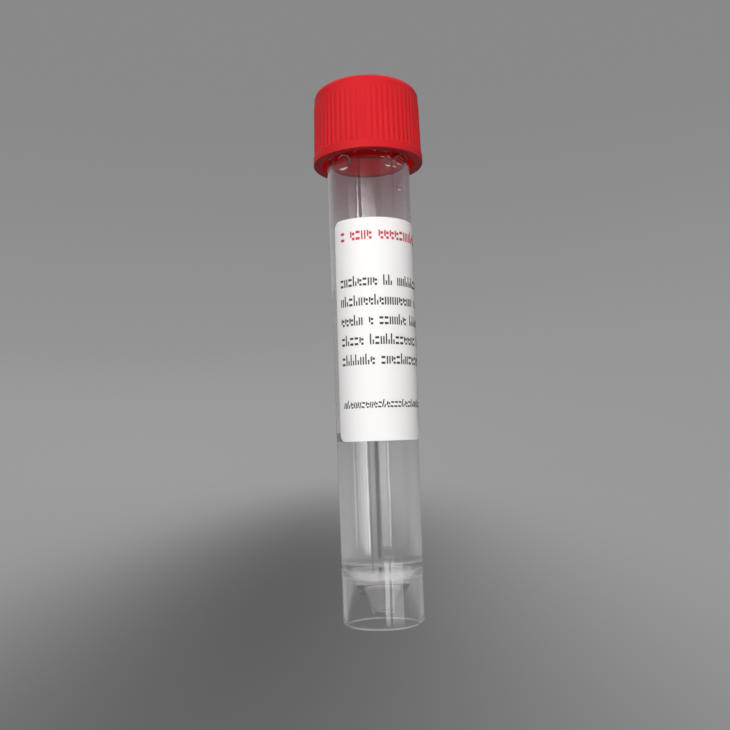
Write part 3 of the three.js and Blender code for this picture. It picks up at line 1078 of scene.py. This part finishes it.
def make_print(label, tube):
    """The print: a heading, five rows and a small leaning row, all of marks that spell nothing."""
    heights = [(label.first_row - label.spacing * i) / MM for i in range(len(PLAIN_ROW_LENGTHS))]
    plain = [(height, 0.0, run) for height, run in zip(heights, PLAIN_ROW_LENGTHS)]
    prints = (
        ("heading", label.title_ink, *HEADING),
        ("rows", label.ink, plain, *PLAIN_ROW_MARKS),
        ("small_row", label.ink, *SMALL_ROW),
    )
    for name, rgb, rows, pitch, width, height, lean, seed in prints:
        tree = row_tree(printed_ink("ink_of_" + name, tuple(rgb)))
        made = tree.run("print_" + name, row_lines(name, label, rows), {
            "Pitch": pitch * MM,
            "Width": width * MM,
            "Height": height * MM,
            "Depth": label.ink_depth,
            "Lean": math.radians(lean),
            "Facing": label.facing,
            "Radius": tube.foot_radius + label.gap + label.thickness,
            "Taper": taper(tube),
            "Seed": seed,
        })
        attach(made, "tube")


def make_fluid(fluid, tube):
    """The fluid that fills the lower bore, with its surface drawn up where it meets the wall."""
    wet = fluid.wetting
    floor = floor_height(tube)
    tip = tube.tip_height + tube.cone_wall - wet
    edge = barrel_radius(tube, fluid.level) - tube.wall + wet
    outline = rounded([
        (0, tip, 0),
        (floor_radius(tube, tip + wet) + wet, tip, tube.cone_wall / 2),
        (barrel_radius(tube, floor) - tube.wall + wet, floor, tube.floor_fillet),
        (edge, fluid.level, 0),
        (0, fluid.level, 0),
    ])
    surface = []
    last = math.exp(-CLIMB_FALL)
    for i in range(CLIMB_STEPS + 1):
        inwards = fluid.reach * i / CLIMB_STEPS
        rise = fluid.climb * (math.exp(-CLIMB_FALL * i / CLIMB_STEPS) - last) / (1 - last)
        surface.append(Vector((edge - inwards, fluid.level + rise)))
    outline = outline[:-2] + surface + outline[-1:]
    made = add_object("fluid", revolve("fluid", outline, SEGMENTS), clear_fluid("pooled_fluid", fluid))
    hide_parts("transport_fluid")
    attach(made, "tube")


def ball_with_painted_highlight(tree, subdivisions):
    """A ball with an attribute that grows from 0 to 1 towards its lowest part, where a highlight is painted.
    """
    sizes = {"Radius": 1.0, "Subdivisions": subdivisions}
    ball = tree.add("GeometryNodeMeshIcoSphere", None, sizes)
    up = tree.places()[2]
    sockets = {"Geometry": ball, "Name": "rim", "Value": (0 - up).over(*PAINTED_HIGHLIGHT_RANGE)}
    return tree.add("GeometryNodeStoreNamedAttribute", {"data_type": "FLOAT", "domain": "POINT"}, sockets)


def drop_tree(material):
    """Drops flattened on the bore: a large one on each point that is given, and a fine mist."""
    labels = ["Count", "Radius", "Taper", "Wetting", "Flatness", "Low", "High", "Size", "Seed"]
    tree = GeometryTree("drops", labels)
    ball = ball_with_painted_highlight(tree, 4)
    speck = ball_with_painted_highlight(tree, 3)
    flatness = tree.given("Flatness")
    bore = tree.given("Radius")
    widening = tree.given("Taper")

    along, across, _ = tree.places()
    size = tree.add("GeometryNodeInputNamedAttribute", {"data_type": "FLOAT"}, {"Name": "size"})
    facing = tree.vector(0.0, 0.0, across.of("ARCTAN2", along))
    large = tree.copies(tree.given("Geometry"), ball, facing, tree.vector(size * flatness, size, size))

    points = tree.add("GeometryNodePoints", None, {"Count": tree.given("Count")})
    angle = tree.random(0.0, FULL_TURN, 1)
    height = tree.random(tree.given("Low"), tree.given("High"), 2)
    placed = tree.wrapped(points, bore + widening * height, angle, height)
    fine = tree.given("Size") * tree.random(SMALLEST_MIST, 1.0, 3)
    facing = tree.vector(0.0, 0.0, angle)
    mist = tree.copies(placed, speck, facing, tree.vector(fine * flatness, fine, fine))

    along, across, up = tree.places()
    radius = (along * along + across * across).of("SQRT")
    limit = bore + widening * up + tree.given("Wetting")
    trim = (limit / radius).of("MINIMUM", 1.0)
    drops = tree.real(tree.joined(large, mist))
    tree.finish(tree.moved(drops, along * trim, across * trim, up), material)
    return tree


def make_drops(fluid, tube):
    """The larger drops and the fine mist under the cap."""
    carrier = bpy.data.meshes.new("drop_places")
    spots = [
        spot_at(math.radians(degrees), barrel_radius(tube, z * MM) - tube.wall, z * MM)
        for degrees, z, _ in LARGE_DROPS
    ]
    carrier.from_pydata(spots, [], [])
    sizes = carrier.attributes.new("size", "FLOAT", "POINT")
    for item, (_, _, half_width) in zip(sizes.data, LARGE_DROPS):
        item.value = half_width * MM
    made = drop_tree(clear_fluid("clinging_fluid", fluid, fluid.rim)).run("drops", carrier, {
        "Count": fluid.mist,
        "Radius": tube.foot_radius - tube.wall,
        "Taper": taper(tube),
        "Wetting": fluid.wetting,
        "Flatness": fluid.flatness,
        "Low": MIST_LOW,
        "High": MIST_HIGH,
        "Size": fluid.mist_size,
        "Seed": MIST_SEED,
    })
    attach(made, "tube")


# ---------------------------------------------------------------- stage


# Highlights on the lower tube: from and to how many degrees from the front, the lowest and highest place in
# mm (0 for as high as it goes), and how strong.
LOWER_HIGHLIGHTS = (
    (-75.0, -60.0, 0.6, 0, 0.5),
    (-60.0, -44.0, 9.0, 0, 0.6),
    (-36.0, -34.0, 10.6, 0, 3.0),
    (-30.0, -26.0, 10.4, 0, 2.7),
    (-26.0, -22.0, 9.6, 0, 4.4),
    (-22.0, -17.5, 9.2, 0, 6.2),
    (-17.5, -14.8, 9.0, 0, 9.0),
    (2.0, 10.5, 10.0, 0, 3.2),
    (11.5, 14.0, 10.0, 0, 5.5),
    (18.0, 35.0, 10.0, 0, 0.7),
    (2.7, 8.5, 0.1, 8.4, 5.6),
    (11.8, 14.5, 0.1, 8.4, 4.8),
    (14.5, 28.5, 0.1, 8.4, 3.3),
    (44.0, 62.0, 9.0, 0, 0.6),
    (62.0, 75.0, 0.6, 0, 0.4),
)
# Highlights on the upper tube: from and to how many degrees from the front, how high the card reaches at
# half a metre, and how strong.
UPPER_HIGHLIGHTS = (
    (-80.0, -52.0, 0.36, 0.6),
    (-52.0, -30.0, 0.34, 0.5),
    (-30.0, -20.0, 0.30, 1.8),
    (-17.5, -15.3, 0.295, 13.5),
    (-11.2, -9.2, 0.30, 10.5),
    (-9.2, -5.5, 0.30, 7.4),
    (-5.5, -2.0, 0.30, 6.1),
    (-2.0, 1.0, 0.30, 4.9),
    (1.0, 4.0, 0.30, 3.4),
    (4.0, 7.0, 0.30, 1.8),
    (36.0, 60.0, 0.36, 0.65),
    (60.0, 76.0, 0.36, 0.12),
)
# How far off the upper cards stand, where they start, and over what height they fade out.
UPPER_DISTANCE = 0.5
UPPER_FOOT = 0.15
UPPER_FADE = 0.05
# How far off and how high the floor's cards end, how high they lie, and over what height they fade in.
HORIZON = (0.58, 0.05)
CARD_LIFT = 0.2 * MM
CARD_FADE = 1.1 * MM
# How strongly the dark cards glow.
DARKNESS = 0.05
# The dark strip seen through the lower tube: degrees from the back, and how far off it starts.
STRIP_ANGLES = (0.6, 2.6)
STRIP_START = 0.07
# The dark line seen through the upper tube: its left and right, how far back it stands, its foot and top.
LINE_SIDES = (-0.0032, -0.0018)
LINE_BACK = 0.3
LINE_HEIGHTS = (0.13, 0.21)
# The bright card that shows in the drops: degrees from the front, how far off, foot and top, and how strong.
SPARKLE_ANGLES = (-24.0, -8.0)
SPARKLE_DISTANCE = 0.8
SPARKLE_HEIGHTS = (0.28, 0.55)
SPARKLE = 6.0
# From the front of the tube to the camera, and from where on the camera sees.
TO_CAMERA = 0.145
CAMERA_NEAR = 0.01
# The longest step along the floor's curve.
FLOOR_STEP = 0.02


def make_floor(stage):
    """A round floor that curves up into a wall, open at the top."""
    outline = rounded(
        [(0, 0, 0), (stage.floor_radius, 0, stage.sweep), (stage.floor_radius, stage.wall_height, 0)],
        step=FLOOR_STEP,
    )
    floor = add_object("floor", revolve("floor", outline, SEGMENTS), studio_grey(stage))


def make_lamp(name, place, size, watts, in_gloss):
    """A square area lamp that faces the middle of the tube, and may show in gloss."""
    lamp = bpy.data.lights.new(name, "AREA")
    lamp.size = size
    lamp.energy = watts
    holder = bpy.data.objects.new(name, lamp)
    holder.location = place
    aim = Vector((0, 0, CAD_BOX[1].z / 2)) - Vector(place)
    holder.rotation_euler = aim.to_track_quat("-Z", "Y").to_euler()
    holder.visible_camera = False
    holder.visible_transmission = False
    holder.visible_glossy = in_gloss
    bpy.context.scene.collection.objects.link(holder)


def mirrored(degrees, tube):
    """Where the camera looks, off the front of the tube at that many degrees, round the tube's axis."""
    angle = math.radians(degrees)
    parallax = tube.shoulder_radius / TO_CAMERA
    return 2 * angle + parallax * math.sin(angle)


def seen_from(degrees, distance, z, tube):
    """The point at that distance which the camera sees mirrored in the front of the tube."""
    start = spot_at(math.radians(degrees), tube.foot_radius, 0)
    return start + spot_at(mirrored(degrees, tube), distance, z)


def floor_reach(z, stage):
    """How far from the tube the camera sees the floor mirrored in it at that height."""
    return TO_CAMERA * z / (stage.camera_place[2] - z)


def add_cards(name, stage, cards):
    """Bright or dark cards that light nothing and that the camera doesn't see. A card is a list of rows from
    its foot up, each with a left place, a right place and the glow there."""
    shape = bmesh.new()
    glows = shape.verts.layers.float.new("glow")
    for rows in cards:
        edges = []
        for left, right, glow in rows:
            edges.append([shape.verts.new(left), shape.verts.new(right)])
            for vertex in edges[-1]:
                vertex[glows] = glow
        for (a, b), (c, d) in zip(edges, edges[1:]):
            shape.faces.new((a, b, d, c))
    mesh = bpy.data.meshes.new(name)
    shape.to_mesh(mesh)
    shape.free()
    made = add_object(name, mesh, card_glow(stage))
    made.visible_camera = False
    made.visible_diffuse = False
    made.visible_volume_scatter = False
    made.visible_shadow = False
    return made


def make_cards(stage, tube):
    """Cards that only show in gloss, on the floor and upright, and cards that only show through the tube."""
    def row(low, high, distance, z, glow):
        return seen_from(low, distance, z, tube), seen_from(high, distance, z, tube), glow

    lights = []
    for low, high, foot, top, glow in LOWER_HIGHLIGHTS:
        fade_in = [(foot * MM, 0.0), (foot * MM + CARD_FADE, glow)]
        heights = fade_in + [(top * MM, glow)] if top else fade_in
        rows = [row(low, high, floor_reach(z, stage), CARD_LIFT, here) for z, here in heights]
        if not top:
            rows.append(row(low, high, *HORIZON, glow))
        lights.append(rows)
    for low, high, top, glow in UPPER_HIGHLIGHTS:
        heights = ((UPPER_FOOT, glow), (top - UPPER_FADE, glow), (top, 0.0))
        lights.append([row(low, high, UPPER_DISTANCE, z, here) for z, here in heights])
    add_cards("highlight_cards", stage, lights).visible_transmission = False

    behind = [math.pi - math.radians(degrees) for degrees in STRIP_ANGLES]
    ends = ((STRIP_START, CARD_LIFT), HORIZON)
    strip = [(*[spot_at(angle, *end) for angle in behind], DARKNESS) for end in ends]
    line = [(*[Vector((x, LINE_BACK, z)) for x in LINE_SIDES], DARKNESS) for z in LINE_HEIGHTS]
    sides = [math.radians(degrees) for degrees in SPARKLE_ANGLES]
    sparkle = [(*[spot_at(side, SPARKLE_DISTANCE, z) for side in sides], SPARKLE) for z in SPARKLE_HEIGHTS]
    add_cards("clear_cards", stage, [strip, line, sparkle]).visible_glossy = False


def make_world(stage):
    """Even light from all sides, and white where the camera sees past the wall."""
    world = bpy.data.worlds.new("even_light")
    world.use_nodes = True
    tree = Tree(world.node_tree)
    strength = seen_directly(tree) * (1.0 - stage.sky) + stage.sky
    sky = tree.add("ShaderNodeBackground", None, {"Color": (1, 1, 1, 1), "Strength": strength})
    tree.add("ShaderNodeOutputWorld", None, {"Surface": sky})
    bpy.context.scene.world = world


def make_camera(stage):
    """The camera, turned about its line of sight, so that it sees the tube lean a little."""
    pitch = stage.camera_pitch
    roll = stage.camera_roll
    ahead = Vector((0, math.cos(pitch), math.sin(pitch)))
    above = Vector((0, -math.sin(pitch), math.cos(pitch)))
    right = Vector((math.cos(roll), 0, 0)) + above * math.sin(roll)
    up = above * math.cos(roll) - Vector((math.sin(roll), 0, 0))
    lens = bpy.data.cameras.new("camera")
    lens.lens = stage.lens
    lens.clip_start = CAMERA_NEAR
    camera = bpy.data.objects.new("camera", lens)
    turned = Matrix((right, up, -ahead)).transposed().to_4x4()
    camera.matrix_world = Matrix.Translation(stage.camera_place) @ turned
    bpy.context.scene.collection.objects.link(camera)
    bpy.context.scene.camera = camera


def make_stage(stage, tube):
    """The floor, the lamps, the highlight cards, the even light and the camera."""
    make_floor(stage)
    make_lamp("key", (0.0, -0.82, 0.38), 0.4, stage.key_power, in_gloss=False)
    make_lamp("low", (-0.02, -0.24, 0.004), 0.16, stage.low_power, in_gloss=False)
    make_lamp("fill", (0.60, -0.50, 0.50), 0.5, stage.fill_power, in_gloss=True)
    make_lamp("back", (-0.25, 0.72, 0.50), 0.5, stage.back_power, in_gloss=False)
    make_cards(stage, tube)
    make_world(stage)
    make_camera(stage)
    bpy.context.scene.view_settings.view_transform = "Standard"


# ---------------------------------------------------------------- operators, panel and registration


def settings_of(context):
    """Every size and colour that was set for this scene."""
    return context.scene.sample_tube


class SAMPLE_TUBE_OT_tube(bpy.types.Operator):
    """Make the moulded tube with its threaded neck"""

    bl_idname = "sample_tube.tube"
    bl_label = "Tube"

    def execute(self, context):
        settings = settings_of(context)
        make_tube(settings.tube, settings.thread)
        return {"FINISHED"}


class SAMPLE_TUBE_OT_cap(bpy.types.Operator):
    """Make the ribbed screw cap"""

    bl_idname = "sample_tube.cap"
    bl_label = "Cap"

    def execute(self, context):
        settings = settings_of(context)
        make_cap(settings.cap, settings.tube, settings.thread)
        return {"FINISHED"}


class SAMPLE_TUBE_OT_washer(bpy.types.Operator):
    """Make the sealing washer"""

    bl_idname = "sample_tube.washer"
    bl_label = "Washer"

    def execute(self, context):
        make_washer(settings_of(context).cap)
        return {"FINISHED"}


class SAMPLE_TUBE_OT_label(bpy.types.Operator):
    """Make the wrap label"""

    bl_idname = "sample_tube.label"
    bl_label = "Label"

    def execute(self, context):
        settings = settings_of(context)
        make_label(settings.label, settings.tube)
        return {"FINISHED"}


class SAMPLE_TUBE_OT_print(bpy.types.Operator):
    """Make the rows of print on the label"""

    bl_idname = "sample_tube.print"
    bl_label = "Print"

    def execute(self, context):
        settings = settings_of(context)
        make_print(settings.label, settings.tube)
        return {"FINISHED"}


class SAMPLE_TUBE_OT_fluid(bpy.types.Operator):
    """Make the fluid in the lower bore"""

    bl_idname = "sample_tube.fluid"
    bl_label = "Fluid"

    def execute(self, context):
        settings = settings_of(context)
        make_fluid(settings.fluid, settings.tube)
        return {"FINISHED"}


class SAMPLE_TUBE_OT_drops(bpy.types.Operator):
    """Make the drops that cling to the wall"""

    bl_idname = "sample_tube.drops"
    bl_label = "Drops"

    def execute(self, context):
        settings = settings_of(context)
        make_drops(settings.fluid, settings.tube)
        return {"FINISHED"}


class SAMPLE_TUBE_OT_stage(bpy.types.Operator):
    """Make the floor, the lamps and the camera"""

    bl_idname = "sample_tube.stage"
    bl_label = "Stage"

    def execute(self, context):
        settings = settings_of(context)
        make_stage(settings.stage, settings.tube)
        return {"FINISHED"}


MAKERS = (
    SAMPLE_TUBE_OT_tube,
    SAMPLE_TUBE_OT_cap,
    SAMPLE_TUBE_OT_washer,
    SAMPLE_TUBE_OT_label,
    SAMPLE_TUBE_OT_print,
    SAMPLE_TUBE_OT_fluid,
    SAMPLE_TUBE_OT_drops,
    SAMPLE_TUBE_OT_stage,
)


class SAMPLE_TUBE_PT_makers(bpy.types.Panel):
    """Lists what can be made"""

    bl_idname = "SAMPLE_TUBE_PT_makers"
    bl_label = "Sample Tube"
    bl_space_type = "VIEW_3D"
    bl_region_type = "UI"
    bl_category = "Sample Tube"

    def draw(self, context):
        for maker in MAKERS:
            self.layout.operator(maker.bl_idname)


CLASSES = (
    TubeSettings,
    ThreadSettings,
    CapSettings,
    LabelSettings,
    FluidSettings,
    StageSettings,
    SampleTubeSettings,
    *MAKERS,
    SAMPLE_TUBE_PT_makers,
)


def register():
    for each in CLASSES:
        bpy.utils.register_class(each)
    bpy.types.Scene.sample_tube = bpy.props.PointerProperty(type=SampleTubeSettings)


def unregister():
    del bpy.types.Scene.sample_tube
    for each in reversed(CLASSES):
        bpy.utils.unregister_class(each)


def main():
    """Registers the classes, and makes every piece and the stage."""
    register()
    bpy.ops.sample_tube.tube()
    bpy.ops.sample_tube.cap()
    bpy.ops.sample_tube.washer()
    bpy.ops.sample_tube.label()
    bpy.ops.sample_tube.print()
    bpy.ops.sample_tube.fluid()
    bpy.ops.sample_tube.drops()
    bpy.ops.sample_tube.stage()


if __name__ == "__main__":
    main()
